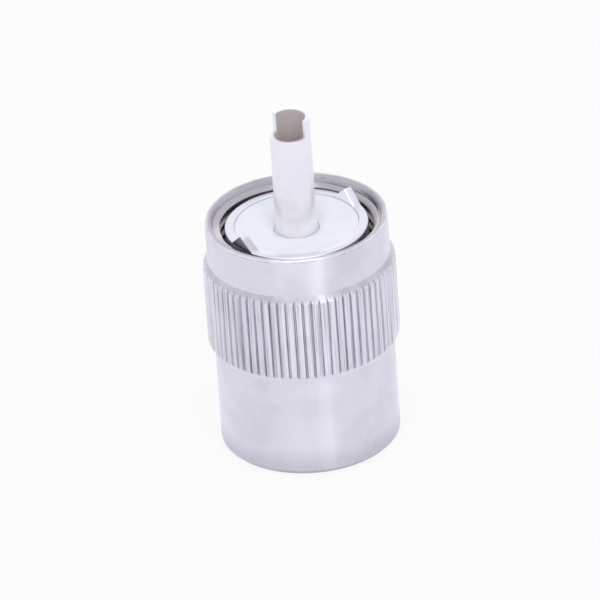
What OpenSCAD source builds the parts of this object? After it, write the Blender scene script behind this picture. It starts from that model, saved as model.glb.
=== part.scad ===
// Coaxial plug of the UHF family, standing on its rear end.
// The axis is Z. The table is z = 0, and the centre pin points up.

/* [Main sizes] */
// Diameter of the cable entry, from which all radii follow outwards
cable_bore_d = 10.5; // [10.3:0.05:10.8]
// Length of the ring along its axis
ring_len = 23.6; // [22.4:0.05:25]
// Length of the body from its rear end to its front face
body_len = 22.85; // [21.5:0.05:24]

/* [Coupling ring] */
// Wall of the plain front, from the thread's crests outwards
front_wall = 1.39; // [1.2:0.01:1.7]
// Wall of the plain rear, from the same crests outwards
rear_wall = 1.26; // [1.1:0.01:1.6]
// Length of the plain front
front_len = 3.86; // [3:0.02:5]
// Length of the plain rear
rear_len = 10.4; // [9:0.1:11.5]
// Bevel round the front rim
front_edge = 0.12; // [0.05:0.01:0.3]
// Bevel round the rear edge
rear_edge = 0.45; // [0.1:0.05:0.7]
// How much wider the mouth is than the thread's crests, on each side
mouth_step = 0.9; // [0.6:0.05:1]
// Depth of the lead-in cone
mouth_depth = 0.9; // [0.5:0.05:1.4]
// Depth of the undercut behind the thread
undercut_depth = 0.6; // [0.4:0.02:0.7]
// Length of the undercut
undercut_len = 3.65; // [2:0.05:4.5]

/* [Knurled band] */
// How far the ridges stand over the plain front
knurl_rise = 0.46; // [0.4:0.02:0.8]
// Number of ridges round the band
knurl_count = 72; // [48:2:90]
// Depth of the grooves between the ridges
knurl_depth = 0.26; // [0.2:0.02:0.4]
// Share of the pitch that a ridge's flat top takes
knurl_top_share = 0.5; // [0.3:0.05:0.6]
// Share of the pitch that a groove's flat bottom takes
knurl_root_share = 0.14; // [0.05:0.01:0.25]
// Length of the sloping ends of the ridges
knurl_end = 0.78; // [0.4:0.02:1.2]

/* [Plug body] */
// Thickness of the front flange
flange_len = 3; // [2.6:0.05:3.6]
// Gap all round between the flange and the ring's thread
flange_gap = 0.48; // [0.4:0.01:0.6]
// Bevel of the flange's edges
flange_edge = 0.15; // [0.05:0.05:0.3]
// Step from the flange down to the neck that the ring's lip slides on
flange_step = 1.02; // [0.9:0.02:1.2]
// Distance of the solder holes behind the flange
solder_hole_back = 5.85; // [5:0.05:7]
// Diameter of each solder hole
solder_hole_d = 3.2; // [2.6:0.1:3.6]
// Number of solder holes
solder_hole_count = 4; // [2:1:4]
// Depth of the waist round the solder holes
waist_depth = 0.35; // [0.15:0.05:0.5]
// Length of the waist
waist_len = 4.4; // [4:0.1:5]
// Length of the rear grip below the retaining band
grip_len = 2.4; // [1.8:0.1:3]
// Step of the rear grip over the neck
grip_step = 0.2; // [0.1:0.05:0.25]
// Length of the retaining band
band_len = 3.5; // [2.6:0.1:3.8]
// Bevel of the retaining band's edges and of the rear grip
band_edge = 0.3; // [0.1:0.05:0.35]

/* [Cable side] */
// Wall of the neck round the cable entry
cable_wall = 0.6; // [0.5:0.02:0.8]
// Depth of the cable entry
cable_bore_len = 8.5; // [7:0.1:9.5]
// Bevel at the mouth of the cable entry
cable_mouth = 0.3; // [0.1:0.05:0.4]
// Step from the cable entry down to the chamber for braid and dielectric
chamber_step = 1.35; // [1.1:0.05:1.6]

/* [Ring stops] */
// Clearance between the ring's lip and the neck
lip_gap = 0.3; // [0.25:0.01:0.4]
// Length of the ring's inner lip
lip_len = 3; // [2:0.1:3.4]
// How far the retaining band stands over the lip's bore
band_catch = 0.3; // [0.2:0.05:0.4]
// Clearance between the retaining band and the ring's skirt
skirt_gap = 0.35; // [0.3:0.05:0.6]
// Gap between the lip and the retaining band with the ring down
rest_gap = 0.1; // [0.05:0.01:0.2]
// Bevel of the lip's edges
lip_edge = 0.25; // [0.1:0.05:0.4]

/* [Keys] */
// Height of the roof-shaped keys above the front face
key_h = 1.3; // [1:0.05:1.6]
// Width of a key at its foot
key_w = 3; // [2:0.05:3.2]
// Plan angle of the first key, the other stands opposite
key_angle = 37.5; // [0:0.5:90]
// Width of the metal rim round the insulator
rim_w = 0.9; // [0.8:0.05:1.1]

/* [Insulator] */
// Depth of the insulator's face below the metal rim
insulator_recess = 0.05; // [0.05:0.05:0.3]
// Diameter of the shallow dish round the pin
dish_d = 6.2; // [5.4:0.1:7]
// Depth of the dish
dish_depth = 0.45; // [0.1:0.05:0.6]
// Metal left between the insulator's seat and the back of the flange
seat_floor = 0.4; // [0.2:0.05:0.6]
// Length of the boss behind the insulator's disc
boss_len = 2.8; // [2.4:0.05:3.4]
// Bevel round the disc's face
disc_edge = 0.15; // [0.1:0.05:0.5]
// Clearance of the pressed seats, so that the pieces don't overlap
seat_gap = 0.02; // [0.01:0.01:0.04]

/* [Centre pin] */
// Outer diameter of the pin
pin_d = 3.94; // [3.7:0.02:4.1]
// Wall of the hollow pin
pin_wall = 0.48; // [0.42:0.01:0.7]
// Length of the pin in front of its root
pin_out = 12; // [11:0.05:14]
// Step of the pin's root, which is pressed into the insulator
root_step = 0.2; // [0.17:0.01:0.3]
// Step from the root out to the collar behind the insulator's web
collar_step = 0.53; // [0.4:0.01:0.8]
// Length of the collar
collar_len = 1.2; // [0.8:0.1:1.6]
// Length of the pin's tail behind the collar
tail_len = 0.8; // [0.4:0.1:1.4]
// Bevel inside the tail, which guides the wire in
tail_edge = 0.3; // [0.1:0.05:0.38]
// Depth of the cut at the tip, which takes half of the wall away
tip_cut_len = 1.8; // [1:0.05:3]
// Plan angle of the edge that the cut leaves
tip_cut_angle = -37; // [-90:1:90]
// Bevel round the tip
tip_edge = 0.08; // [0.04:0.02:0.16]

/* [Hidden] */
$fn = 96;
// Overshoot of the cutting solids
over = 1;
nickel = [0.84, 0.83, 0.87];
silver = [0.93, 0.92, 0.96];
white_plastic = [0.93, 0.94, 0.97];

// Radii of the body, outwards from the cable entry
cable_r = cable_bore_d / 2;
chamber_r = cable_r - chamber_step;
neck_r = cable_r + cable_wall;
grip_r = neck_r + grip_step;
flange_r = neck_r + flange_step;
seat_r = flange_r - rim_w;

// Radii of the retaining band and of what it meets in the ring
lip_r = neck_r + lip_gap;
band_r = lip_r + band_catch;
skirt_r = band_r + skirt_gap;

// Radii of the ring, outwards from the thread's crests, which stand at 7.35 mm
thread_r = flange_r + flange_gap;
front_r = thread_r + front_wall;
rear_r = thread_r + rear_wall;
knurl_r = front_r + knurl_rise;
mouth_r = thread_r + mouth_step;
undercut_r = thread_r + undercut_depth;

// Heights of the body and of the ring's lip, undercut and knurl
flange_z = body_len - flange_len;
band_z = grip_len;
band_top = band_z + band_len;
lip_z = band_top + rest_gap;
lip_top = lip_z + lip_len;
thread_z = lip_top + undercut_len;
knurl_top = ring_len - front_len;

// Heights of the insulator, whose disc sits in the flange
disc_top = body_len - insulator_recess;
dish_z = disc_top - dish_depth;
disc_z = flange_z + seat_floor;
boss_z = disc_z - boss_len;

// Radii and heights of the pin
pin_r = pin_d / 2;
pin_bore_r = pin_r - pin_wall;
root_r = pin_r + root_step;
collar_r = root_r + collar_step;
dish_r = dish_d / 2;
collar_z = boss_z;
collar_top = collar_z + collar_len;
tail_z = collar_z - tail_len;
tip_z = dish_z + pin_out;

module turned(profile) {
    rotate_extrude() polygon(profile);
}

// Outline of the knurl: each ridge has a flat top and each groove a flat bottom
function ridge_point(i, side, r) =
    let (a = (i + side) * 360 / knurl_count) [r * cos(a), r * sin(a)];
function knurl_outline() = [
    for (i = [0 : knurl_count - 1])
        for (p = [
            [-(1 - knurl_root_share) / 2, knurl_r - knurl_depth],
            [-knurl_top_share / 2, knurl_r],
            [knurl_top_share / 2, knurl_r],
            [(1 - knurl_root_share) / 2, knurl_r - knurl_depth]
        ]) ridge_point(i, p[0], p[1])
];

// Distance of a sloping end from its foot, at radius r
function slope_z(r, foot_r) = knurl_end * (r - foot_r) / (knurl_r - foot_r);

// The ridges, with ends that slope down to the plain zones on both sides
module knurled_band() {
    inner_r = thread_r + rear_wall / 2;
    outer_r = knurl_r + knurl_rise / 2;
    foot = rear_len + slope_z(inner_r, rear_r);
    top = knurl_top - slope_z(inner_r, front_r);
    intersection() {
        translate([0, 0, foot]) linear_extrude(top - foot) polygon(knurl_outline());
        turned([
            [0, foot],
            [inner_r, foot],
            [outer_r, rear_len + slope_z(outer_r, rear_r)],
            [outer_r, knurl_top - slope_z(outer_r, front_r)],
            [inner_r, top],
            [0, top]
        ]);
    }
}

module ring_blank() {
    band_mid = (rear_len + knurl_top) / 2;
    turned([
        [0, 0],
        [rear_r - rear_edge, 0],
        [rear_r, rear_edge],
        [rear_r, band_mid],
        [front_r, band_mid],
        [front_r, ring_len - front_edge],
        [front_r - front_edge, ring_len],
        [0, ring_len]
    ]);
}

// Everything that is bored out of the ring, from the skirt up to the mouth
module ring_bore() {
    turned([
        [0, -over],
        [skirt_r, -over],
        [skirt_r, lip_z],
        [lip_r + lip_edge, lip_z],
        [lip_r, lip_z + lip_edge],
        [lip_r, lip_top - lip_edge],
        [lip_r + lip_edge, lip_top],
        [undercut_r, lip_top],
        [undercut_r, thread_z - undercut_depth],
        [thread_r, thread_z],
        [thread_r, ring_len - mouth_depth],
        [mouth_r, ring_len],
        [mouth_r, ring_len + over],
        [0, ring_len + over]
    ]);
}

module coupling_ring() {
    color(nickel) difference() {
        union() {
            ring_blank();
            knurled_band();
        }
        ring_bore();
    }
}

module body_blank() {
    waist_r = neck_r - waist_depth;
    waist_z = flange_z - solder_hole_back - waist_len / 2;
    waist_top = waist_z + waist_len;
    turned([
        [0, 0],
        [grip_r - band_edge, 0],
        [grip_r, band_edge],
        [grip_r, band_z],
        [band_r - band_edge, band_z],
        [band_r, band_z + band_edge],
        [band_r, band_top - band_edge],
        [band_r - band_edge, band_top],
        [neck_r, band_top],
        [neck_r, waist_z],
        [waist_r, waist_z + waist_depth],
        [waist_r, waist_top - waist_depth],
        [neck_r, waist_top],
        [neck_r, flange_z],
        [flange_r - flange_edge, flange_z],
        [flange_r, flange_z + flange_edge],
        [flange_r, body_len - flange_edge],
        [flange_r - flange_edge, body_len],
        [0, body_len]
    ]);
}

// Cable entry, chamber and the seat of the insulator
module body_bore() {
    cone = cable_r - chamber_r;
    turned([
        [0, -over],
        [cable_r + cable_mouth, -over],
        [cable_r + cable_mouth, 0],
        [cable_r, cable_mouth],
        [cable_r, cable_bore_len],
        [chamber_r, cable_bore_len + cone],
        [chamber_r, disc_z],
        [seat_r, disc_z],
        [seat_r, body_len + over],
        [0, body_len + over]
    ]);
}

// The holes stand half a pitch away from the keys
module solder_holes() {
    pitch = 360 / solder_hole_count;
    for (i = [0 : solder_hole_count - 1])
        translate([0, 0, flange_z - solder_hole_back])
            rotate([90, 0, key_angle + 90 + (i + 0.5) * pitch])
                cylinder(h = neck_r + over, d = solder_hole_d);
}

// A roof-shaped key on the metal rim, with its ridge along the radius
module key(angle) {
    foot = body_len - flange_edge;
    half = key_w / 2 * (key_h + flange_edge) / key_h;
    intersection() {
        rotate([0, 0, angle])
            translate([0, 0, foot])
                rotate([90, 0, 90])
                    linear_extrude(flange_r + over)
                        polygon([[-half, 0], [half, 0], [0, key_h + flange_edge]]);
        difference() {
            cylinder(h = body_len + key_h + over, r = flange_r);
            cylinder(h = body_len + key_h + over, r = seat_r);
        }
    }
}

module plug_body() {
    color(silver) {
        difference() {
            union() {
                body_blank();
                key(key_angle);
                key(key_angle + 180);
            }
            body_bore();
            solder_holes();
        }
    }
}

module insulator() {
    color(white_plastic) turned([
        [root_r + seat_gap, collar_top],
        [collar_r + seat_gap, collar_top],
        [collar_r + seat_gap, boss_z],
        [chamber_r - seat_gap, boss_z],
        [chamber_r - seat_gap, disc_z],
        [seat_r - seat_gap, disc_z],
        [seat_r - seat_gap, disc_top - disc_edge],
        [seat_r - seat_gap - disc_edge, disc_top],
        [dish_r, disc_top],
        [root_r + seat_gap, dish_z]
    ]);
}

module centre_pin() {
    color(silver) difference() {
        turned([
            [pin_bore_r + tail_edge, tail_z],
            [pin_r, tail_z],
            [pin_r, collar_z],
            [collar_r, collar_z],
            [collar_r, collar_top],
            [root_r, collar_top],
            [root_r, dish_z],
            [pin_r, dish_z],
            [pin_r, tip_z - tip_edge],
            [pin_r - tip_edge, tip_z],
            [pin_bore_r + tip_edge, tip_z],
            [pin_bore_r, tip_z - tip_edge],
            [pin_bore_r, tail_z + tail_edge]
        ]);
        rotate([0, 0, tip_cut_angle])
            translate([-pin_d, -pin_d, tip_z - tip_cut_len])
                cube([2 * pin_d, pin_d, tip_cut_len + over]);
    }
}

coupling_ring();
plug_body();
insulator();
centre_pin();
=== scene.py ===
"""Looks of a round coaxial plug: a knurled ring, a body with two keys, a white insulator and a hollow pin.

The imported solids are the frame. Every piece is turned or cut in its own operator, in millimetres,
and is then brought to metres in the frame's own place.
"""

import math
from functools import reduce
from types import SimpleNamespace

import bmesh
import bpy
from bpy.props import FloatProperty, FloatVectorProperty, IntProperty, PointerProperty
from bpy.types import Operator, Panel, PropertyGroup
from mathutils import Matrix, Vector


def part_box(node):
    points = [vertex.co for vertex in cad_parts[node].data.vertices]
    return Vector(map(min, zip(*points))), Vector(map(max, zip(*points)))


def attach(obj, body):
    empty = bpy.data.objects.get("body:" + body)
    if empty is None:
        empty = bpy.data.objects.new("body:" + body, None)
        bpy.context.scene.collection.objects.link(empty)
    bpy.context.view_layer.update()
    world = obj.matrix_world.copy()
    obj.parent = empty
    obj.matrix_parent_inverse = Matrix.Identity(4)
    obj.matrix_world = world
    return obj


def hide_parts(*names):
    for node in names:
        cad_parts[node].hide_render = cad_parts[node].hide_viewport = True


bl_info = {
    "name": "Coaxial plug",
    "version": (1, 0, 0),
    "blender": (4, 5, 0),
    "location": "View3D > Sidebar > Plug",
    "description": "Builds a coaxial plug's pieces round its packed solids and gives them their finishes",
    "category": "Object",
}

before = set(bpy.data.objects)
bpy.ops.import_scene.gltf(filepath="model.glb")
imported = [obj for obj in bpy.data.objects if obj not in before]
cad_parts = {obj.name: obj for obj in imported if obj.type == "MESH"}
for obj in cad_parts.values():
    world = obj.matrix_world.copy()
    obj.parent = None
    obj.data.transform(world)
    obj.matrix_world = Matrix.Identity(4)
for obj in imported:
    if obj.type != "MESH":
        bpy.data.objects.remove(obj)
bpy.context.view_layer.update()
RING_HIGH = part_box("coupling_ring")[1]
BODY_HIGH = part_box("plug_body")[1]
INSULATOR_LOW, INSULATOR_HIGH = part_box("insulator")
PIN_LOW, PIN_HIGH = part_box("centre_pin")

FULL_TURN = 2 * math.pi
MM = 0.001

# In millimetres: points that are closer than this are one point
WELD = 0.0004

# Roundings in millimetres
HAIRLINE = 0.03
FINE = 0.04
BROKEN = 0.05
EASED = 0.06
SMALL = 0.08
PLAIN = 0.1
SOFT = 0.12
WIDE = 0.15
LIP_ROUND = 0.2
DISH_ROUND = 0.3

# Steps of a full turn
TURN_STEPS = 128
PIN_STEPS = 96
THREAD_STEPS = 96

# Thread form: shares of the pitch, and how deep its foot and its cut ends lie in the wall, in millimetres
FLANK_SHARE = 0.3125
CREST_SHARE = 0.25
FOOT_SUNK = 0.15
END_SUNK = 0.1

# Camera fitted to the photograph: its frame and the axis's foot in pixels, then turns in radians and metres
FRAME_SIZE = 600
FOOT_X, FOOT_Y = 311.298, 430.368
PIXELS_PER_MM = 10.403
CAMERA_ROLL = 0.07173
CAMERA_RISE = 0.52529
CAMERA_DISTANCE = 1.136

# Lamps: place, width and length in metres, and power in watts
LAMPS = {
    "top_lamp": ((0.0, -0.35, 1.2), (0.7, 0.7), 3.0),
    "key_lamp": ((0.40, -0.95, 0.80), (0.09, 0.8), 0.95),
    "back_lamp": ((0.0, 1.3, 0.35), (1.4, 0.4), 1.0),
}


# Properties


def length(name, description, value):
    return FloatProperty(name=name, description=description, default=value, min=0, precision=5, unit="LENGTH")


def colour(name, description, value):
    return FloatVectorProperty(
        name=name, description=description, default=value, min=0, max=1, subtype="COLOR"
    )


def percentage(name, description, value):
    return FloatProperty(
        name=name, description=description, default=value, min=0, max=100, subtype="PERCENTAGE"
    )


def plan_angle(name, description, degrees):
    return FloatProperty(name=name, description=description, default=math.radians(degrees), subtype="ANGLE")


def count(name, description, value, low, high):
    return IntProperty(name=name, description=description, default=value, min=low, max=high)


class RingSizes(PropertyGroup):
    height: length("Height", "Length of the ring along its axis", RING_HIGH.z)
    knurl_radius: length("Knurl radius", "Radius over the ridges", RING_HIGH.x)
    front_radius: length("Front radius", "Radius of the plain front", 0.00874)
    rear_radius: length("Rear radius", "Radius of the plain skirt", 0.00861)
    front_edge: length("Front edge", "Rounding of the front rim's outer edge", 0.00016)
    rear_edge: length("Rear edge", "Bevel of the skirt's lower edge", 0.00045)
    mouth_radius: length("Mouth radius", "Radius of the lead-in cone at the front", 0.00825)
    mouth_depth: length("Mouth depth", "Depth of the lead-in cone down to the thread's root", 0.0006)
    crest_radius: length("Thread crest radius", "Radius over the inner crests of the thread", 0.00735)
    root_radius: length("Thread root radius", "Radius of the thread's root", 0.00792)
    pitch: length("Thread pitch", "24 turns in an inch", 0.0254 / 24)
    thread_low: length("Thread end", "Height at which the thread ends in the undercut", 0.01235)
    thread_rise: length("Thread rise", "How far the thread's front end reaches up the lead-in cone", 0.00015)
    thread_slope: FloatProperty(name="Thread slope", description="Slope of its front end", default=2.73)
    lip_low: length("Lip underside", "Height of the underside of the inner lip", 0.006)
    lip_high: length("Lip top", "Height of the top of the inner lip", 0.009)
    lip_radius: length("Lip radius", "Radius of the lip's bore", 0.00615)
    skirt_radius: length("Skirt bore radius", "Radius of the bore behind the lip", 0.0068)
    knurl_low: length("Knurl start", "Height at which the ridges rise from the skirt", 0.0104)
    knurl_high: length("Knurl end", "Height at which the ridges run out at the front", 0.01974)
    knurl_slope: length("Knurl slope", "Length of the ridges' sloping ends", 0.00078)
    groove_depth: length("Groove depth", "Depth of the grooves between the ridges", 0.00026)
    ridge_edge: length("Ridge edge", "Rounding of the edges of a ridge's flat top", 0.000035)
    ridges: count("Ridges", "Number of ridges round the ring", 72, 24, 144)
    top_share: percentage("Top share", "Share of the pitch that a ridge's flat top takes", 64)
    groove_share: percentage("Groove share", "Share of the pitch that a groove's floor takes", 9)


class BodySizes(PropertyGroup):
    face: length("Face height", "Height of the metal rim round the insulator", 0.02285)
    flange_low: length("Flange underside", "Height of the flange's rear side", 0.01985)
    flange_radius: length("Flange radius", "Radius of the front flange", 0.00687)
    seat_radius: length("Seat radius", "Radius of the insulator's seat", 0.00597)
    seat_floor: length("Seat floor", "Height of the seat's floor", 0.02025)
    neck_radius: length("Neck radius", "Radius of the neck that the ring slides on", 0.00585)
    waist_depth: length("Waist depth", "Depth of the waist round the solder holes", 0.00035)
    waist_low: length("Waist start", "Height of the waist's lower end", 0.0118)
    waist_high: length("Waist end", "Height of the waist's upper end", 0.0162)
    hole_height: length("Hole height", "Height of the solder holes", 0.014)
    hole_radius: length("Hole radius", "Radius of a solder hole", 0.0016)
    holes: count("Solder holes", "Number of solder holes round the neck", 4, 1, 6)
    band_low: length("Band start", "Height of the retaining thread's lower end", 0.0024)
    band_high: length("Band end", "Height of the retaining thread's upper end", 0.0059)
    thread_high: length("Thread end", "Height at which the retaining thread ends", 0.00588)
    band_radius: length("Band radius", "Radius over the retaining thread's crests", 0.00645)
    band_root: length("Band root radius", "Radius of the retaining thread's root", 0.00618)
    grip_radius: length("Grip radius", "Radius of the rear grip", 0.00605)
    cable_radius: length("Cable entry radius", "Radius of the cable entry", 0.00525)
    cable_depth: length("Cable entry depth", "Depth of the cable entry", 0.0085)
    chamber_radius: length("Chamber radius", "Radius of the chamber for the braid", 0.0039)
    chamfer: length("Chamfer", "Chamfer of the rear end's edges", 0.0003)
    key_width: length("Key width", "Width of a key at its foot", 0.003)
    key_top: length("Key top", "Height of the ridge of the keys", BODY_HIGH.z)
    key_sunk: length("Key foot depth", "How deep a key's foot lies in the flange", 0.0002)
    key_proud: length("Key overhang", "How far a key's ends stand over the rim's two edges", 0.000004)
    key_angle: plan_angle("Key angle", "Plan angle of the first key", 37.5)


class InsulatorSizes(PropertyGroup):
    face: length("Face height", "Height of the insulator's face", INSULATOR_HIGH.z)
    radius: length("Disc radius", "Radius of the disc in its seat", INSULATOR_HIGH.x)
    disc_low: length("Disc underside", "Height of the disc's underside", 0.02025)
    boss_radius: length("Boss radius", "Radius of the boss in the chamber", 0.00388)
    boss_low: length("Boss end", "Height of the boss's lower end", INSULATOR_LOW.z)
    pocket_high: length("Pocket height", "Height of the pocket that holds the pin's collar", 0.01865)
    pocket_radius: length("Pocket radius", "Radius of the pocket for the pin's collar", 0.00272)
    edge: length("Edge", "Bevel round the face", 0.00005)
    fit: length("Fit round the pin", "Clearance between the hole and the pin's root", 0.00002)
    dish_radius: length("Dish radius", "Radius of the shallow dish round the pin", 0.0031)
    dish_low: length("Dish floor", "Height of the dish at the pin's root", 0.02235)


class PinSizes(PropertyGroup):
    tip: length("Tip height", "Height of the pin's tip", PIN_HIGH.z)
    tail: length("Tail height", "Height of the pin's lower end", PIN_LOW.z)
    radius: length("Radius", "Outer radius of the pin", 0.00197)
    bore_radius: length("Bore radius", "Radius of the pin's bore", 0.00149)
    root_radius: length("Root radius", "Radius of the root in the insulator", 0.00217)
    root_high: length("Root height", "Height of the root's shoulder", 0.02235)
    collar_radius: length("Collar radius", "Radius of the collar behind the insulator's web", PIN_HIGH.x)
    collar_low: length("Collar underside", "Height of the collar's underside", 0.01745)
    collar_high: length("Collar top", "Height of the collar's top", 0.01865)
    chamfer: length("Chamfer", "Chamfer of the bore at the lower end", 0.0003)
    cut_depth: length("Cut depth", "Depth of the cut that takes half of the tip's wall", 0.0018)
    cut_angle: plan_angle("Cut angle", "Plan angle of the edge that the cut leaves", -37)
    edge: length("Edge", "Rounding of the tip's edges", 0.00006)


class Finishes(PropertyGroup):
    nickel: colour("Nickel plate", "Colour of the ring's nickel", (0.835, 0.812, 0.925))
    # Dirt and painted shade: knurl grooves, a line under the rim, the ring's foot, a key's slope and the
    # pin's foot
    nickel_grime: colour("Grime in the knurl", "Colour of the dirt in the grooves", (0.43, 0.40, 0.42))
    # Dull nickel darkened with painted shade, for the inside of the ring
    nickel_inside: colour("Nickel inside", "Colour of the dull nickel in the thread", (0.49, 0.47, 0.52))
    # Painted shade deep in the thread
    thread_shade: colour("Dirt in the thread", "Colour of the nickel deep in the thread", (0.37, 0.34, 0.345))
    silver_pin: colour("Silver on the pin", "Colour of the silver on the centre pin", (0.88, 0.868, 0.95))
    # Painted light: near-white colour for the pin's lower part
    silver_low: colour("Silver low on the pin", "Colour of the pin's lower part", (0.99, 0.985, 1.0))
    silver_body: colour("Silver on the body", "Colour of the body and its keys", (0.775, 0.77, 0.865))
    tarnish: colour("Tarnish", "Colour of the tarnish on the silver", (0.44, 0.385, 0.375))
    # Painted light: paler colour deep in the pin's open tip
    bore_deep_highlight: colour("Open tip", "Colour of the pale tarnish in the pin's open tip", (0.78, 0.71, 0.70))
    # Dark painted reflection for the keys' outer ends
    key_dirt: colour("Dirt on the keys", "Colour of the keys' outer ends", (0.16, 0.145, 0.15))
    # Painted highlight for the keys' inner ends
    key_bright: colour("Bright keys", "Colour of the keys' inner ends", (0.98, 0.97, 1.0))
    fluoropolymer: colour("Insulator", "Colour of the white insulator", (0.87, 0.9, 0.985))
    backdrop: colour("Backdrop", "Colour of the floor and the background", (0.982, 0.982, 0.984))
    studio: colour("Studio light", "Colour of the soft light all round", (0.985, 0.985, 1.0))


# Modelling


def in_mm(group):
    """The group's values, with its lengths in millimetres."""
    values = {}
    for p in group.bl_rna.properties:
        if p.type in {"FLOAT", "INT"}:
            value = getattr(group, p.identifier)
            values[p.identifier] = value / MM if p.unit == "LENGTH" else value
    return SimpleNamespace(**values)


def draw_outline(bm, points):
    """A closed wire through (radius, height, rounding) points, each corner rounded by its own size."""
    corners = [bm.verts.new((radius, 0, height)) for radius, height, _ in points]
    for a, b in zip(corners, corners[1:] + corners[:1]):
        bm.edges.new((a, b))
    for corner, (_, _, rounding) in zip(corners, points):
        if rounding:
            bmesh.ops.bevel(
                bm, geom=[corner], offset=rounding, offset_type="OFFSET", affect="VERTICES",
                segments=3, profile=0.5, material=-1,
            )


def spin(bm, geom, angle, steps, rise=0, **how):
    """Spins geom round the axis and returns the last copy."""
    turned = bmesh.ops.spin(
        bm, geom=geom, cent=(0, 0, 0), axis=(0, 0, 1), dvec=(0, 0, rise / steps),
        angle=angle, steps=steps, **how,
    )
    return turned["geom_last"]


def turn_outline(bm, points, steps):
    """A closed outline turned into a solid of revolution."""
    draw_outline(bm, points)
    spin(bm, bm.verts[:] + bm.edges[:], FULL_TURN, steps, use_merge=True)


def round_edges(bm, edges, size, segments=2):
    bmesh.ops.bevel(
        bm, geom=edges, offset=size, offset_type="OFFSET", affect="EDGES", segments=segments, profile=0.5,
        material=-1, clamp_overlap=True,
    )


def radius_of(vert):
    return math.hypot(vert.co.x, vert.co.y)


def set_radius(vert, radius):
    vert.co.xy = vert.co.xy * (radius / radius_of(vert))


def finish_piece(name, bm, material, body, node=None, sharp=35):
    """Closes the mesh, brings it to metres and hands the object to the frame."""
    bmesh.ops.remove_doubles(bm, verts=bm.verts, dist=WELD)
    bmesh.ops.recalc_face_normals(bm, faces=bm.faces)
    bmesh.ops.scale(bm, vec=(MM, MM, MM), verts=bm.verts)
    mesh = bpy.data.meshes.new(name)
    bm.to_mesh(mesh)
    bm.free()
    mesh.shade_smooth()
    mesh.set_sharp_from_angle(angle=math.radians(sharp))
    mesh.materials.append(material)
    piece = bpy.data.objects.new(name, mesh)
    bpy.context.scene.collection.objects.link(piece)
    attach(piece, body)
    if node:
        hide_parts(node)
    return piece


def cut_thread(bm, crest, root, pitch, low, high, low_slope=1.0, high_slope=1.0):
    """A helical ridge sunk in the wall at its root, cut back at both ends by the cones of its chamfers."""
    out = 1 if crest > root else -1
    foot, end, middle = root - FOOT_SUNK * out, root - END_SUNK * out, (root + crest) / 2
    flank, top = FLANK_SHARE * pitch, CREST_SHARE * pitch
    start = low - pitch
    turns = math.ceil((high - low) / pitch) + 1
    draw_outline(
        bm,
        [
            (foot, start, 0),
            (root, start, 0),
            (middle, start + flank / 2, 0),
            (crest, start + flank, BROKEN),
            (crest, start + flank + top / 2, 0),
            (crest, start + flank + top, BROKEN),
            (middle, start + flank * 1.5 + top, 0),
            (root, start + 2 * flank + top, 0),
            (foot, start + 2 * flank + top, 0),
        ],
    )
    spin(bm, bm.verts[:] + bm.edges[:], FULL_TURN * turns, THREAD_STEPS * turns, rise=pitch * turns)
    for level, side in ((low, -1), (high, 1)):
        geom = bm.verts[:] + bm.edges[:] + bm.faces[:]
        bmesh.ops.bisect_plane(bm, geom=geom, plane_co=(0, 0, level), plane_no=(0, 0, side), clear_outer=True)
    bmesh.ops.holes_fill(bm, edges=[e for e in bm.edges if e.is_boundary])
    for vert in bm.verts:
        limit = end + out * min((vert.co.z - low) * low_slope, (high - vert.co.z) * high_slope)
        if (radius_of(vert) - limit) * out > 0:
            set_radius(vert, limit)


# Materials


def new_group(name, inputs, outputs):
    """An empty shader node group with float inputs {name: default} and float outputs."""
    group = bpy.data.node_groups.new(name, "ShaderNodeTree")
    for socket, value in inputs.items():
        made = group.interface.new_socket(socket, in_out="INPUT", socket_type="NodeSocketFloat")
        made.default_value = value
    for socket in outputs:
        group.interface.new_socket(socket, in_out="OUTPUT", socket_type="NodeSocketFloat")
    return group


class Nodes:
    """Places nodes in one tree and joins them."""

    def __init__(self, tree):
        self.tree = tree

    def join(self, value, socket):
        """Links another node's output to the socket, or sets a plain value on it."""
        if isinstance(value, bpy.types.NodeSocket):
            self.tree.links.new(value, socket)
        else:
            socket.default_value = value

    def add(self, kind, inputs=None, **settings):
        node = self.tree.nodes.new(kind)
        for key, value in settings.items():
            setattr(node, key, value)
        for socket, value in (inputs or {}).items():
            self.join(value, node.inputs[socket])
        return node

    def maths(self, operation, a, b=0.0, clamp=False):
        return self.add("ShaderNodeMath", {0: a, 1: b}, operation=operation, use_clamp=clamp).outputs[0]

    def product(self, *values):
        return reduce(lambda a, b: self.maths("MULTIPLY", a, b), values)

    def most(self, *values):
        return reduce(lambda a, b: self.maths("MAXIMUM", a, b), values)

    def vector(self, operation, a, b=None, output="Vector"):
        inputs = {0: a} if b is None else {0: a, 1: b}
        return self.add("ShaderNodeVectorMath", inputs, operation=operation).outputs[output]

    def noise(self, vector, scale, detail=3.0, roughness=0.5):
        inputs = {"Vector": vector, "Scale": scale, "Detail": detail, "Roughness": roughness}
        return self.add("ShaderNodeTexNoise", inputs).outputs["Fac"]

    def span(self, value, low, high, to_low=0.0, to_high=1.0):
        """Runs smoothly from to_low to to_high as the value runs from low to high."""
        inputs = {"Value": value, "From Min": low, "From Max": high, "To Min": to_low, "To Max": to_high}
        return self.add("ShaderNodeMapRange", inputs, interpolation_type="SMOOTHSTEP").outputs["Result"]

    def mix(self, share, a, b):
        """A colour between a and b."""
        return self.add("ShaderNodeMix", {0: share, 6: a, 7: b}, data_type="RGBA").outputs[2]

    def blend(self, share, a, b):
        """A number between a and b."""
        return self.add("ShaderNodeMix", {0: share, 2: a, 3: b}, data_type="FLOAT").outputs[0]

    def place(self):
        """A point's own place on the piece, its distance from the axis and its height."""
        place = self.add("ShaderNodeTexCoord").outputs["Object"]
        radius = self.vector("LENGTH", self.vector("MULTIPLY", place, (1, 1, 0)), output="Value")
        height = self.add("ShaderNodeSeparateXYZ", {0: place}).outputs["Z"]
        return place, radius, height


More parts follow.
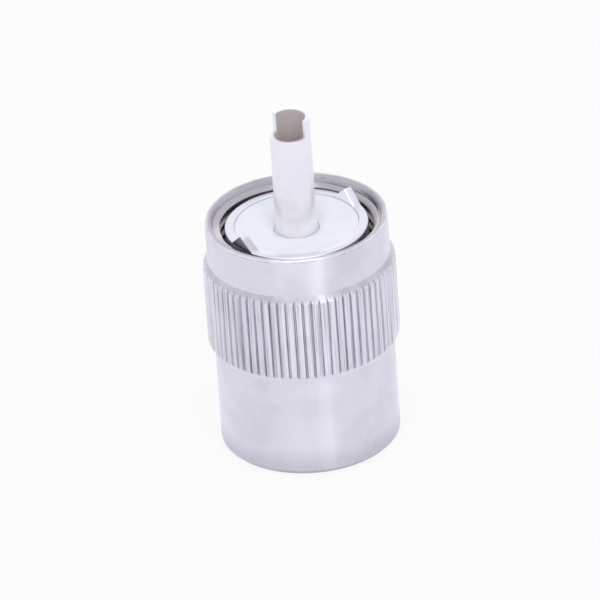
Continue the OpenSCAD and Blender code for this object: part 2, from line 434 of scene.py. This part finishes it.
def turning_marks_group():
    """Fine lines that the lathe leaves, round the axis on the sides and in rings on the faces."""
    group = new_group("turning_marks", {"Lines per metre": 12000.0, "Waviness": 0.15}, ["Height"])
    n = Nodes(group)
    given = n.add("NodeGroupInput").outputs
    place, radius, height = n.place()
    shift = n.product(n.noise(place, 260.0, 2.0), given["Waviness"], MM)
    across, along = n.maths("ADD", radius, shift), n.maths("ADD", height, shift)
    line = n.add("ShaderNodeCombineXYZ", {"X": across, "Z": along})
    inputs = {0: line.outputs["Vector"], "Scale": given["Lines per metre"]}
    scaled = n.add("ShaderNodeVectorMath", inputs, operation="SCALE").outputs["Vector"]
    n.add("NodeGroupOutput", {"Height": n.noise(scaled, 1.0, 3.0, 0.7)})


def handling_group():
    """Soft smudges and small rubbed marks left by fingers and the tray."""
    group = new_group("handling", {"Smudge scale": 220.0, "Rub scale": 1400.0}, ["Smudge", "Rub"])
    n = Nodes(group)
    given = n.add("NodeGroupInput").outputs
    place = n.add("ShaderNodeTexCoord").outputs["Object"]
    smudge = n.span(n.noise(place, given["Smudge scale"], 4.0, 0.6), 0.42, 0.66)
    rub = n.span(n.noise(place, given["Rub scale"], 5.0, 0.7), 0.56, 0.72)
    n.add("NodeGroupOutput", {"Smudge": smudge, "Rub": rub})


def edge_highlight_group():
    """A mask of a round edge that rubs against other things, broken up by a fine noise, where a painted
    highlight goes.
    """
    sizes = {"Edge radius": 8.7 * MM, "Edge height": 23.6 * MM, "Edge size": 0.2 * MM}
    group = new_group("edge_wear_highlight", sizes, ["Mask"])
    n = Nodes(group)
    given = n.add("NodeGroupInput").outputs
    place, radius, height = n.place()
    across = n.maths("SUBTRACT", radius, given["Edge radius"])
    along = n.maths("SUBTRACT", height, given["Edge height"])
    offset = n.add("ShaderNodeCombineXYZ", {"X": across, "Y": along}).outputs["Vector"]
    away = n.vector("LENGTH", offset, output="Value")
    edge = n.span(n.maths("DIVIDE", away, given["Edge size"]), 0.4, 1.0, 1.0, 0.0)
    broken = n.span(n.noise(place, 900.0, 3.0), 0.35, 0.6, 0.4, 1.0)
    n.add("NodeGroupOutput", {"Mask": n.maths("MULTIPLY", edge, broken, clamp=True)})


def rgba(values, times=1.0):
    """The colour as red, green, blue and alpha, made darker or lighter by a factor."""
    return (*(min(1.0, value * times) for value in values), 1.0)


def start_material(name, metallic=1.0, roughness=0.5):
    """A new material with its Principled shader, and a Nodes helper for its tree."""
    material = bpy.data.materials.new(name)
    material.use_nodes = True
    material.node_tree.nodes.clear()
    n = Nodes(material.node_tree)
    shader = n.add("ShaderNodeBsdfPrincipled", {"Metallic": metallic, "Roughness": roughness})
    n.add("ShaderNodeOutputMaterial", {"Surface": shader.outputs["BSDF"]})
    return n, shader


def place_group(n, name, inputs=None):
    made = n.add("ShaderNodeGroup", node_tree=bpy.data.node_groups[name])
    for socket, value in (inputs or {}).items():
        made.inputs[socket].default_value = value
    return made.outputs


def lathe_bump(n, shader, marks, strength, depth):
    made = n.add("ShaderNodeBump", {"Height": marks, "Strength": strength, "Distance": depth})
    n.join(made.outputs["Normal"], shader.inputs["Normal"])


def knurl_dirt_and_shade(n, place, streaks, scratches, ridges):
    """Dirt and painted shade in the grooves between the ridges, and dirt along fine upright scratches."""
    sides = n.add("ShaderNodeSeparateXYZ", {0: place}).outputs
    turn = n.product(n.maths("ARCTAN2", sides["Y"], sides["X"]), ridges / FULL_TURN)
    off_ridge = n.maths("ABSOLUTE", n.maths("SUBTRACT", n.maths("FRACT", turn), 0.5))
    grooves = n.product(n.span(off_ridge, 0.42, 0.48), n.span(streaks, 0.35, 0.65, 0.25, 0.85))
    return n.most(grooves, n.span(scratches, 0.48, 0.66, 0.0, 0.6))


def satin_nickel(finishes, ring):
    """Nickel plate on turned brass, with lathe lines, smudges, dirt and painted shade in the knurl, painted
    highlights on the rim and scratches, and a dull thread darkened with painted shade.
    """
    n, shader = start_material("satin_nickel")
    place, radius, height = n.place()
    marks = place_group(n, "turning_marks", {"Lines per metre": 14000.0, "Waviness": 0.2})["Height"]
    hands = place_group(n, "handling")
    rub, smudge = hands["Rub"], hands["Smudge"]
    rim = {"Edge radius": ring.front_radius - 0.08 * MM, "Edge height": ring.height, "Edge size": 0.22 * MM}
    wear_highlight = place_group(n, "edge_wear_highlight", rim)["Mask"]
    upright = n.add("ShaderNodeMapping", {"Vector": place, "Scale": (1, 1, 0.015)}).outputs["Vector"]
    streaks = n.noise(upright, 900.0, 3.0, 0.6)
    scratches = n.noise(upright, 6500.0, 2.0, 0.6)

    # Where on the ring a point lies
    outside = n.span(radius, ring.rear_radius - 0.11 * MM, ring.rear_radius - 0.01 * MM)
    knurl = n.product(
        n.span(height, ring.knurl_low + 0.1 * MM, ring.knurl_low + 0.8 * MM),
        n.span(height, ring.knurl_high - 0.74 * MM, ring.knurl_high - 0.14 * MM, 1.0, 0.0),
        outside,
    )
    face = n.product(
        n.span(radius, ring.front_radius - 0.14 * MM, ring.front_radius - 0.08 * MM, 1.0, 0.0),
        n.span(height, ring.height - 0.7 * MM, ring.height - 0.5 * MM),
    )
    inside = n.product(
        n.span(radius, ring.root_radius + 0.03 * MM, ring.mouth_radius - 0.03 * MM, 1.0, 0.0),
        n.span(height, ring.height - 0.4 * MM, ring.height - 0.1 * MM, 1.0, 0.0),
    )

    # Dirt and painted shade in the knurl's grooves; painted shade in the step above the knurl, in a line
    # under the rim and round the foot; darker spots towards the foot and darker mottled rings on the face
    grooves = n.product(knurl, knurl_dirt_and_shade(n, place, streaks, scratches, ring.ridges))
    step = n.product(
        n.span(height, ring.knurl_high - 0.74 * MM, ring.knurl_high - 0.34 * MM),
        n.span(height, ring.knurl_high - 0.04 * MM, ring.knurl_high + 0.06 * MM, 0.5, 0.0),
        n.span(streaks, 0.3, 0.6, 0.6, 1.0),
    )
    off_line = n.maths("ABSOLUTE", n.maths("SUBTRACT", height, ring.height - 0.22 * MM))
    line = n.product(n.span(off_line, 0.02 * MM, 0.09 * MM, 0.45, 0.0), outside, n.span(streaks, 0.35, 0.6))
    foot = n.product(
        n.span(height, ring.rear_edge - 0.15 * MM, ring.rear_edge + 0.15 * MM, 0.95, 0.0),
        n.span(rub, 0.0, 1.0, 0.8, 1.0),
    )
    spots = n.product(n.span(height, 0.8 * MM, 4.0 * MM, 0.4, 0.0), rub, outside)
    rings = n.product(n.span(marks, 0.46, 0.62, 0.0, 0.75), face)
    dirt_and_shade_mask = n.most(grooves, step, line, foot, spots, rings, n.product(face, rub, 0.8))

    # Darker towards the foot as painted shade, darker on the face and under smudges; painted highlight on the
    # rubbed rim and along some scratches
    darkened = n.most(n.product(smudge, 0.18), n.span(height, 0.4 * MM, 3.4 * MM, 0.95, 0.0), face)
    scratch_highlight = n.product(knurl, n.span(scratches, 0.34, 0.46, 0.8, 0.0))
    base = n.mix(darkened, rgba(finishes.nickel), rgba(finishes.nickel, 0.78))
    base = n.mix(n.most(n.product(wear_highlight, 0.9), scratch_highlight), base, rgba(finishes.nickel, 1.12))
    base = n.mix(dirt_and_shade_mask, base, rgba(finishes.nickel_grime))

    # Painted shade inside the ring: the nickel there is darkened, and darker still below the mouth
    raised = n.maths("ADD", height, n.product(rub, 0.15 * MM))
    less_shade = n.product(
        n.span(raised, ring.height - 1.25 * MM, ring.height - 0.8 * MM), n.span(marks, 0.45, 0.65, 1.0, 0.55)
    )
    shaded_inside = n.mix(less_shade, rgba(finishes.thread_shade), rgba(finishes.nickel_inside))
    n.join(n.mix(inside, base, shaded_inside), shader.inputs["Base Color"])
    rough = n.maths("ADD", n.span(smudge, 0.0, 1.0, 0.42, 0.47), n.product(rub, 0.03))
    n.join(n.blend(inside, rough, 0.24), shader.inputs["Roughness"])
    lathe_bump(n, shader, marks, 0.25, 0.02 * MM)

    # The lathe lines draw a lamp's reflection out along the ring
    shader.inputs["Anisotropic"].default_value = 0.95
    shader.inputs["Anisotropic Rotation"].default_value = 0.25
    around = n.vector("NORMALIZE", n.vector("CROSS_PRODUCT", (0, 0, 1), place))
    n.join(around, shader.inputs["Tangent"])


def start_silver(name, finishes, colour, inside, edge_radius, edge_height):
    """Starts silver plate with faint tarnish and a rubbed edge, lighter from wear and painted highlight,
    brown inside the given radius.
    """
    n, shader = start_material(name)
    place, radius, height = n.place()
    marks = place_group(n, "turning_marks", {"Lines per metre": 11000.0, "Waviness": 0.1})["Height"]
    hands = place_group(n, "handling", {"Smudge scale": 420.0, "Rub scale": 2200.0})
    edge = {"Edge radius": edge_radius, "Edge height": edge_height, "Edge size": 0.18 * MM}
    wear_highlight = place_group(n, "edge_wear_highlight", edge)["Mask"]
    bore = n.span(radius, inside, inside + 0.08 * MM, 1.0, 0.0)
    tarnish = rgba(finishes.tarnish)
    base = n.mix(n.product(hands["Smudge"], 0.05), rgba(colour), tarnish)
    # Painted highlight, with some wear, on the rubbed edge
    base = n.mix(n.product(wear_highlight, 0.5), base, rgba(colour, 1.06))
    base = n.mix(n.product(bore, 0.75), base, tarnish)
    return SimpleNamespace(
        n=n, shader=shader, place=place, radius=radius, height=height, marks=marks, rub=hands["Rub"],
        smudge=hands["Smudge"], bore=bore, base=base,
    )


def finish_silver(plate, metallic):
    """Joins the plate's colour, gloss and lathe lines to its shader. The bore is dull."""
    n, shader = plate.n, plate.shader
    n.join(plate.base, shader.inputs["Base Color"])
    rough = n.maths("ADD", n.span(plate.smudge, 0.0, 1.0, 0.32, 0.38), n.product(plate.rub, 0.03))
    n.join(n.maths("ADD", rough, n.product(plate.bore, 0.4)), shader.inputs["Roughness"])
    n.join(n.maths("SUBTRACT", metallic, n.product(plate.bore, 0.6), clamp=True), shader.inputs["Metallic"])
    lathe_bump(n, shader, plate.marks, 0.2, 0.02 * MM)


def silver_pin(finishes, pin):
    """Silver on the centre pin: painted light low down, painted shade at its foot and ledge, darker smudges
    low down, and tarnish in the open tip made paler deeper in as painted light.
    """
    inside = pin.bore_radius + 0.04 * MM
    plate = start_silver("silver_pin", finishes, finishes.silver_pin, inside, pin.radius, pin.tip)
    n, height, root = plate.n, plate.height, pin.root_high
    # Painted shade at the pin's foot and on its root ledge, broken up by rubbed marks
    foot = n.product(
        n.span(height, root + 0.25 * MM, root + 0.85 * MM, 0.4, 0.0), n.span(plate.rub, 0.0, 1.0, 0.3, 1.0)
    )
    ledge_shade = n.product(
        n.span(height, root + 0.02 * MM, root + 0.1 * MM, 0.8, 0.0), n.span(plate.rub, 0.0, 1.0, 0.7, 1.0)
    )
    rubbed = n.product(n.span(height, root + 1.15 * MM, root + 6.15 * MM, 0.2, 0.0), plate.smudge)
    # Painted light on the pin's lower part
    light = n.product(
        n.span(height, root + 2.15 * MM, root + 5.15 * MM, 0.9, 0.0), n.maths("SUBTRACT", 1.0, plate.bore)
    )
    # Painted light: the bore turns paler deeper in the open tip
    tip = n.product(plate.bore, n.span(height, pin.tip - 2.15 * MM, pin.tip - 0.35 * MM, 0.75, 0.0))
    base = n.mix(light, plate.base, rgba(finishes.silver_low))
    base = n.mix(tip, base, rgba(finishes.bore_deep_highlight))
    plate.base = n.mix(n.most(foot, ledge_shade, rubbed), base, rgba(finishes.nickel_grime))
    finish_silver(plate, n.maths("SUBTRACT", 0.65, n.product(light, 0.25)))


def silver_body(finishes, body):
    """Silver on the plug body: the keys have a dark painted reflection on their outer ends, a painted
    highlight on their inner ends and painted shade on one slope.
    """
    inside, outside = body.cable_radius + 0.1 * MM, body.flange_radius
    plate = start_silver("silver_body", finishes, finishes.silver_body, inside, outside, body.face)
    n, radius, height = plate.n, plate.radius, plate.height
    on_key = n.span(height, body.face + 0.03 * MM, body.face + 0.1 * MM)
    # Dark painted reflection on the keys' outer ends
    outer = n.product(
        n.span(radius, outside - 0.11 * MM, outside - 0.05 * MM), on_key,
        n.span(plate.rub, 0.0, 1.0, 0.75, 1.0),
    )
    # Painted highlight on the keys' inner ends
    inner = n.product(
        n.span(radius, body.seat_radius + 0.05 * MM, body.seat_radius + 0.11 * MM, 1.0, 0.0), on_key
    )
    angle = body.key_angle + math.pi
    along, across = (math.cos(angle), math.sin(angle), 0), (-math.sin(angle), math.cos(angle), 0)
    # Painted shade on one slope of the second key
    slope = n.product(
        n.span(n.vector("DOT_PRODUCT", plate.place, across, "Value"), 0.1 * MM, 0.4 * MM),
        n.span(n.vector("DOT_PRODUCT", plate.place, along, "Value"), 0.0, 1.0 * MM), on_key, 0.42,
    )
    base = n.mix(outer, plate.base, rgba(finishes.key_dirt))
    base = n.mix(inner, base, rgba(finishes.key_bright))
    plate.base = n.mix(slope, base, rgba(finishes.nickel_grime))
    finish_silver(plate, 1.0)


def white_fluoropolymer(finishes):
    """Turned white plastic, with soft rings from the lathe and a few specks."""
    n, shader = start_material("white_fluoropolymer", 0.0)
    marks = place_group(n, "turning_marks", {"Lines per metre": 7000.0, "Waviness": 0.3})["Height"]
    hands = place_group(n, "handling", {"Smudge scale": 500.0, "Rub scale": 3000.0})
    white = finishes.fluoropolymer
    base = n.mix(n.product(hands["Smudge"], 0.5), rgba(white), rgba(white, 0.93))
    n.join(base, shader.inputs["Base Color"])
    n.join(n.span(hands["Rub"], 0.0, 1.0, 0.4, 0.55), shader.inputs["Roughness"])
    lathe_bump(n, shader, marks, 0.2, 0.03 * MM)


def backdrop(finishes):
    """Pale floor: white where the camera or a reflection sees it, and still keeping a soft shadow."""
    n, shader = start_material("backdrop", 0.0, 0.9)
    white = rgba(finishes.backdrop)
    shader.inputs["Base Color"].default_value = white
    shader.inputs["Specular IOR Level"].default_value = 0.0
    path = n.add("ShaderNodeLightPath").outputs
    mirrored = n.product(n.most(path["Is Glossy Ray"], path["Is Transmission Ray"]), 0.85)
    seen = n.product(n.most(path["Is Camera Ray"], mirrored), 0.88)
    glow = n.add("ShaderNodeEmission", {"Color": white, "Strength": 1.0}).outputs["Emission"]
    mixed = n.add("ShaderNodeMixShader", {0: seen, 1: shader.outputs["BSDF"], 2: glow}).outputs["Shader"]
    n.join(mixed, n.tree.get_output_node("ALL").inputs["Surface"])


def finish_of(name):
    return bpy.data.materials[name]


# Operators


class PLUG_OT_finishes(Operator):
    """Makes the node groups and the materials of every piece"""

    bl_idname = "plug.finishes"
    bl_label = "Finishes"

    def execute(self, context):
        finishes = context.scene.plug_finishes
        turning_marks_group()
        handling_group()
        edge_highlight_group()
        satin_nickel(finishes, context.scene.plug_ring)
        silver_body(finishes, context.scene.plug_body)
        silver_pin(finishes, context.scene.plug_pin)
        white_fluoropolymer(finishes)
        backdrop(finishes)
        return {"FINISHED"}


class PLUG_OT_stage(Operator):
    """Sets up the pale floor, the world, the lamps and the camera at the photograph's angle"""

    bl_idname = "plug.stage"
    bl_label = "Stage"

    def execute(self, context):
        scene = context.scene
        bm = bmesh.new()
        bmesh.ops.create_circle(bm, cap_ends=True, radius=3, segments=96)
        mesh = bpy.data.meshes.new("floor")
        bm.to_mesh(mesh)
        bm.free()
        mesh.materials.append(finish_of("backdrop"))
        floor = bpy.data.objects.new("floor", mesh)
        scene.collection.objects.link(floor)
        self.light_world(scene)
        for name, (place, size, power) in LAMPS.items():
            self.add_lamp(scene, name, place, size, power)
        self.add_camera(scene)
        scene.view_settings.view_transform = "Standard"
        return {"FINISHED"}

    def light_world(self, scene):
        world = bpy.data.worlds.new("studio")
        scene.world = world
        world.use_nodes = True
        world.node_tree.nodes.clear()
        n = Nodes(world.node_tree)
        finishes = scene.plug_finishes
        direction = n.add("ShaderNodeTexCoord").outputs["Generated"]
        up = n.add("ShaderNodeSeparateXYZ", {0: direction}).outputs["Z"]
        level = n.span(up, -0.1, 0.9, 0.62, 0.78)
        soft = n.add("ShaderNodeBackground", {"Color": rgba(finishes.studio), "Strength": level}).outputs[0]
        seen = n.add("ShaderNodeBackground", {"Color": rgba(finishes.backdrop), "Strength": 1.0}).outputs[0]
        path = n.add("ShaderNodeLightPath").outputs
        shown = n.most(path["Is Camera Ray"], path["Is Transmission Ray"], path["Is Glossy Ray"])
        mixed = n.add("ShaderNodeMixShader", {0: shown, 1: soft, 2: seen}).outputs["Shader"]
        n.add("ShaderNodeOutputWorld", {"Surface": mixed})

    def add_lamp(self, scene, name, place, size, power):
        lamp = bpy.data.lights.new(name, "AREA")
        lamp.shape = "RECTANGLE"
        lamp.size, lamp.size_y = size
        lamp.energy = power
        rig = bpy.data.objects.new(name, lamp)
        rig.location = place
        rig.visible_camera = False
        rig.rotation_euler = (Vector((0, 0, 0.015)) - Vector(place)).to_track_quat("-Z", "Y").to_euler()
        scene.collection.objects.link(rig)

    def add_camera(self, scene):
        """The camera looks past the axis's foot, so that the foot falls where the photograph shows it."""
        right = Vector((1, 0, 0))
        up = Vector((0, math.sin(CAMERA_RISE), math.cos(CAMERA_RISE)))
        back = right.cross(up)
        x = math.cos(CAMERA_ROLL) * right - math.sin(CAMERA_ROLL) * up
        y = math.sin(CAMERA_ROLL) * right + math.cos(CAMERA_ROLL) * up
        focal = PIXELS_PER_MM * CAMERA_DISTANCE / MM
        aside = x * (FRAME_SIZE / 2 - FOOT_X) + y * (FOOT_Y - FRAME_SIZE / 2)
        back_turned = (back * focal - aside).normalized()
        x_turned = y.cross(back_turned).normalized()
        y_turned = back_turned.cross(x_turned)
        camera = bpy.data.cameras.new("camera")
        camera.sensor_width = 36
        camera.lens = focal / FRAME_SIZE * camera.sensor_width
        camera.clip_start, camera.clip_end = 0.1, 20
        rig = bpy.data.objects.new("camera", camera)
        rig.matrix_world = Matrix((x_turned, y_turned, back_turned)).transposed().to_4x4()
        rig.location = back * CAMERA_DISTANCE
        scene.collection.objects.link(rig)
        scene.camera = rig


class PLUG_OT_ring(Operator):
    """Turns the ring's shell and knurls it with straight ridges"""

    bl_idname = "plug.ring"
    bl_label = "Coupling ring"

    def execute(self, context):
        s = in_mm(context.scene.plug_ring)
        groove_radius = s.knurl_radius - s.groove_depth
        rear_share = (groove_radius - s.rear_radius) / (s.knurl_radius - s.rear_radius)
        front_share = (groove_radius - s.front_radius) / (s.knurl_radius - s.front_radius)
        bm = bmesh.new()
        draw_outline(
            bm,
            [
                (s.skirt_radius, 0, EASED),
                (s.rear_radius - s.rear_edge, 0, SOFT),
                (s.rear_radius, s.rear_edge, SOFT),
                (s.rear_radius, s.knurl_low, 0),
                (s.knurl_radius, s.knurl_low + s.knurl_slope, 0),
                (s.knurl_radius, s.knurl_high - s.knurl_slope, 0),
                (s.front_radius, s.knurl_high, 0),
                (s.front_radius, s.height, s.front_edge),
                (s.mouth_radius, s.height, FINE),
                (s.root_radius, s.height - s.mouth_depth, 0),
                (s.root_radius, s.lip_high, PLAIN),
                (s.lip_radius, s.lip_high, LIP_ROUND),
                (s.lip_radius, s.lip_low, LIP_ROUND),
                (s.skirt_radius, s.lip_low, PLAIN),
            ],
        )
        pitch = FULL_TURN / s.ridges
        groove = pitch * s.groove_share / 100
        top = pitch * s.top_share / 100
        flank = (pitch - groove - top) / 2
        columns = [bm.verts[:] + bm.edges[:]]
        for part in (groove / 2, flank, top, flank, groove / 2):
            columns.append(spin(bm, columns[-1], part, 1))
        groove_low = s.knurl_low + s.knurl_slope * rear_share
        groove_high = s.knurl_high - s.knurl_slope * front_share
        for column in (columns[0], columns[1], columns[4], columns[5]):
            for vert in column:
                if isinstance(vert, bmesh.types.BMVert) and radius_of(vert) > s.knurl_radius - WELD:
                    set_radius(vert, groove_radius)
                    vert.co.z = groove_low if vert.co.z < (s.knurl_low + s.knurl_high) / 2 else groove_high
        crown = [e for e in bm.edges if all(radius_of(v) > s.knurl_radius - WELD for v in e.verts)]
        round_edges(bm, crown, s.ridge_edge)
        spin(bm, bm.verts[:] + bm.edges[:] + bm.faces[:], FULL_TURN - pitch, s.ridges - 1, use_duplicate=True)
        nickel = finish_of("satin_nickel")
        finish_piece("ring_shell", bm, nickel, "ring", "coupling_ring", sharp=30)
        return {"FINISHED"}


class PLUG_OT_ring_thread(Operator):
    """Cuts the coupling thread inside the ring"""

    bl_idname = "plug.ring_thread"
    bl_label = "Coupling thread"

    def execute(self, context):
        s = in_mm(context.scene.plug_ring)
        bm = bmesh.new()
        high = s.height - s.mouth_depth + s.thread_rise
        cut_thread(bm, s.crest_radius, s.root_radius, s.pitch, s.thread_low, high, high_slope=s.thread_slope)
        finish_piece("ring_thread", bm, finish_of("satin_nickel"), "ring")
        return {"FINISHED"}


class PLUG_OT_body(Operator):
    """Turns the plug body, drills its solder holes and adds the two keys on its rim"""

    bl_idname = "plug.body"
    bl_label = "Plug body"

    def execute(self, context):
        s = in_mm(context.scene.plug_body)
        bm = bmesh.new()
        waist = s.neck_radius - s.waist_depth
        turn_outline(
            bm,
            [
                (s.cable_radius, s.chamfer, BROKEN),
                (s.cable_radius + s.chamfer, 0, BROKEN),
                (s.grip_radius - s.chamfer, 0, SMALL),
                (s.grip_radius, s.chamfer, SMALL),
                (s.grip_radius, s.band_low - s.chamfer, BROKEN),
                (s.band_root, s.band_low - s.chamfer + (s.band_root - s.grip_radius), 0),
                (s.band_root, s.band_high, 0),
                (s.neck_radius, s.band_high, BROKEN),
                (s.neck_radius, s.waist_low, BROKEN),
                (waist, s.waist_low + s.waist_depth, SMALL),
                (waist, s.waist_high - s.waist_depth, SMALL),
                (s.neck_radius, s.waist_high, BROKEN),
                (s.neck_radius, s.flange_low, PLAIN),
                (s.flange_radius, s.flange_low, WIDE),
                (s.flange_radius, s.face, SOFT),
                (s.seat_radius, s.face, HAIRLINE),
                (s.seat_radius, s.seat_floor, 0),
                (s.chamber_radius, s.seat_floor, 0),
                (s.chamber_radius, s.cable_depth + s.cable_radius - s.chamber_radius, PLAIN),
                (s.cable_radius, s.cable_depth, PLAIN),
            ],
            TURN_STEPS,
        )
        piece = finish_piece("body_shell", bm, finish_of("silver_body"), "plug", "plug_body")
        self.drill(context, piece, s)
        for number, angle in enumerate((s.key_angle, s.key_angle + math.pi)):
            self.add_key("key_%d" % (number + 1), angle, s)
        return {"FINISHED"}

    def drill(self, context, piece, s):
        bm = bmesh.new()
        for i in range(s.holes):
            angle = s.key_angle + (i + 0.5) * FULL_TURN / s.holes
            place = (
                Matrix.Translation((0, 0, s.hole_height)) @ Matrix.Rotation(angle, 4, "Z")
                @ Matrix.Rotation(math.pi / 2, 4, "Y") @ Matrix.Translation((0, 0, s.neck_radius))
            )
            bmesh.ops.create_cone(
                bm, cap_ends=True, segments=32, radius1=s.hole_radius, radius2=s.hole_radius,
                depth=2 * (s.neck_radius - s.waist_depth), matrix=place,
            )
        bmesh.ops.scale(bm, vec=(MM, MM, MM), verts=bm.verts)
        mesh = bpy.data.meshes.new("drill")
        bm.to_mesh(mesh)
        bm.free()
        drill = bpy.data.objects.new("drill", mesh)
        context.scene.collection.objects.link(drill)
        cut = piece.modifiers.new("solder_holes", "BOOLEAN")
        cut.operation, cut.solver, cut.object = "DIFFERENCE", "EXACT", drill
        context.view_layer.update()
        drilled = bpy.data.meshes.new_from_object(piece.evaluated_get(context.evaluated_depsgraph_get()))
        piece.modifiers.clear()
        piece.data = drilled
        bpy.data.objects.remove(drill)

    def add_key(self, name, angle, s):
        """A roof-shaped key whose ends follow the rim."""
        bm = bmesh.new()
        foot = s.face - s.key_sunk
        half = s.key_width / 2 * (s.key_top - foot) / (s.key_top - s.face)
        outline = ((-half, foot), (half, foot), (0, s.key_top))
        corners = [bm.verts.new((s.seat_radius, y, z)) for y, z in outline]
        gable = bm.faces.new(corners)
        pushed = bmesh.ops.extrude_face_region(bm, geom=[gable])
        moved = [v for v in pushed["geom"] if isinstance(v, bmesh.types.BMVert)]
        bmesh.ops.translate(bm, vec=(s.flange_radius - s.seat_radius, 0, 0), verts=moved)
        round_edges(bm, [e for e in bm.edges if max(v.co.z for v in e.verts) > s.face], BROKEN)
        for part in (0.25, -0.25, 0.5, -0.5, 0.75, -0.75):
            geom = bm.verts[:] + bm.edges[:] + bm.faces[:]
            bmesh.ops.bisect_plane(bm, geom=geom, plane_co=(0, part * half, 0), plane_no=(0, 1, 0))
        for vert in bm.verts:
            share = (vert.co.x - s.seat_radius) / (s.flange_radius - s.seat_radius)
            reach = vert.co.x + s.key_proud * (2 * share - 1)
            vert.co.x = math.sqrt(reach**2 - vert.co.y**2)
        bmesh.ops.rotate(bm, cent=(0, 0, 0), matrix=Matrix.Rotation(angle, 3, "Z"), verts=bm.verts)
        finish_piece(name, bm, finish_of("silver_body"), "plug", sharp=30)


class PLUG_OT_retaining_thread(Operator):
    """Cuts the retaining thread behind the ring's lip"""

    bl_idname = "plug.retaining_thread"
    bl_label = "Retaining thread"

    def execute(self, context):
        s = in_mm(context.scene.plug_body)
        pitch = in_mm(context.scene.plug_ring).pitch
        bm = bmesh.new()
        cut_thread(bm, s.band_radius, s.band_root, pitch, s.band_low, s.thread_high)
        finish_piece("retaining_thread", bm, finish_of("silver_body"), "plug")
        return {"FINISHED"}


class PLUG_OT_insulator(Operator):
    """Turns the white insulator"""

    bl_idname = "plug.insulator"
    bl_label = "Insulator"

    def execute(self, context):
        s = in_mm(context.scene.plug_insulator)
        pin = in_mm(context.scene.plug_pin)
        bm = bmesh.new()
        turn_outline(
            bm,
            [
                (pin.root_radius + s.fit, s.pocket_high, 0),
                (s.pocket_radius, s.pocket_high, 0),
                (s.pocket_radius, s.boss_low, BROKEN),
                (s.boss_radius, s.boss_low, PLAIN),
                (s.boss_radius, s.disc_low, 0),
                (s.radius, s.disc_low, BROKEN),
                (s.radius, s.face - s.edge, HAIRLINE),
                (s.radius - s.edge, s.face, HAIRLINE),
                (s.dish_radius, s.face, DISH_ROUND),
                (pin.root_radius + s.fit, s.dish_low, FINE),
            ],
            TURN_STEPS,
        )
        white = finish_of("white_fluoropolymer")
        finish_piece("insulator_disc", bm, white, "plug", "insulator")
        return {"FINISHED"}


class PLUG_OT_pin(Operator):
    """Turns the hollow centre pin and cuts half of its wall away at the tip"""

    bl_idname = "plug.pin"
    bl_label = "Centre pin"

    def execute(self, context):
        s = in_mm(context.scene.plug_pin)
        cut_floor = s.tip - s.cut_depth
        bm = bmesh.new()
        turn_outline(
            bm,
            [
                (s.bore_radius + s.chamfer, s.tail, HAIRLINE),
                (s.radius, s.tail, BROKEN),
                (s.radius, s.collar_low, 0),
                (s.collar_radius, s.collar_low, SMALL),
                (s.collar_radius, s.collar_high, SMALL),
                (s.root_radius, s.collar_high, 0),
                (s.root_radius, s.root_high, SMALL),
                (s.radius, s.root_high, FINE),
                (s.radius, cut_floor, 0),
                (s.radius, s.tip, 0),
                (s.bore_radius, s.tip, 0),
                (s.bore_radius, cut_floor, 0),
                (s.bore_radius, s.tail + s.chamfer, BROKEN),
            ],
            PIN_STEPS,
        )
        bmesh.ops.remove_doubles(bm, verts=bm.verts, dist=WELD)
        bmesh.ops.rotate(bm, cent=(0, 0, 0), matrix=Matrix.Rotation(s.cut_angle, 3, "Z"), verts=bm.verts)
        away = Vector((math.sin(s.cut_angle), -math.cos(s.cut_angle), 0))
        middles = [(face, face.calc_center_median()) for face in bm.faces]
        taken = [face for face, middle in middles if middle.z > cut_floor + WELD and middle.dot(away) > WELD]
        bmesh.ops.delete(bm, geom=taken, context="FACES")
        rim = [e for e in bm.edges if e.is_boundary]
        floor_edges = [e for e in rim if all(abs(v.co.z - cut_floor) < WELD for v in e.verts)]
        bmesh.ops.bridge_loops(bm, edges=floor_edges)
        bmesh.ops.holes_fill(bm, edges=[e for e in bm.edges if e.is_boundary])
        bmesh.ops.recalc_face_normals(bm, faces=bm.faces)
        upper = [e for e in bm.edges if min(v.co.z for v in e.verts) > cut_floor - WELD]
        sharp = [e for e in upper if e.is_manifold and e.calc_face_angle() > 1]
        round_edges(bm, sharp, s.edge)
        finish_piece("pin_tube", bm, finish_of("silver_pin"), "plug", "centre_pin")
        return {"FINISHED"}


class PLUG_PT_panel(Panel):
    """Lists the sizes, the finishes and the operators"""

    bl_idname = "PLUG_PT_panel"
    bl_label = "Coaxial plug"
    bl_space_type = "VIEW_3D"
    bl_region_type = "UI"
    bl_category = "Plug"

    def draw(self, context):
        layout = self.layout
        for operator in OPERATORS:
            layout.operator(operator.bl_idname)
        for name, kind in GROUPS.items():
            box = layout.box()
            box.label(text=name.removeprefix("plug_").capitalize())
            for key in kind.__annotations__:
                box.prop(getattr(context.scene, name), key)


GROUPS = {
    "plug_ring": RingSizes,
    "plug_body": BodySizes,
    "plug_insulator": InsulatorSizes,
    "plug_pin": PinSizes,
    "plug_finishes": Finishes,
}
OPERATORS = (
    PLUG_OT_finishes,
    PLUG_OT_stage,
    PLUG_OT_ring,
    PLUG_OT_ring_thread,
    PLUG_OT_body,
    PLUG_OT_retaining_thread,
    PLUG_OT_insulator,
    PLUG_OT_pin,
)


def register():
    for kind in (*GROUPS.values(), *OPERATORS, PLUG_PT_panel):
        bpy.utils.register_class(kind)
    for name, kind in GROUPS.items():
        setattr(bpy.types.Scene, name, PointerProperty(type=kind))


def unregister():
    for name in GROUPS:
        delattr(bpy.types.Scene, name)
    for kind in reversed((*GROUPS.values(), *OPERATORS, PLUG_PT_panel)):
        bpy.utils.unregister_class(kind)


def main():
    register()
    bpy.ops.plug.finishes()
    bpy.ops.plug.stage()
    bpy.ops.plug.ring()
    bpy.ops.plug.ring_thread()
    bpy.ops.plug.body()
    bpy.ops.plug.retaining_thread()
    bpy.ops.plug.insulator()
    bpy.ops.plug.pin()


if __name__ == "__main__":
    main()
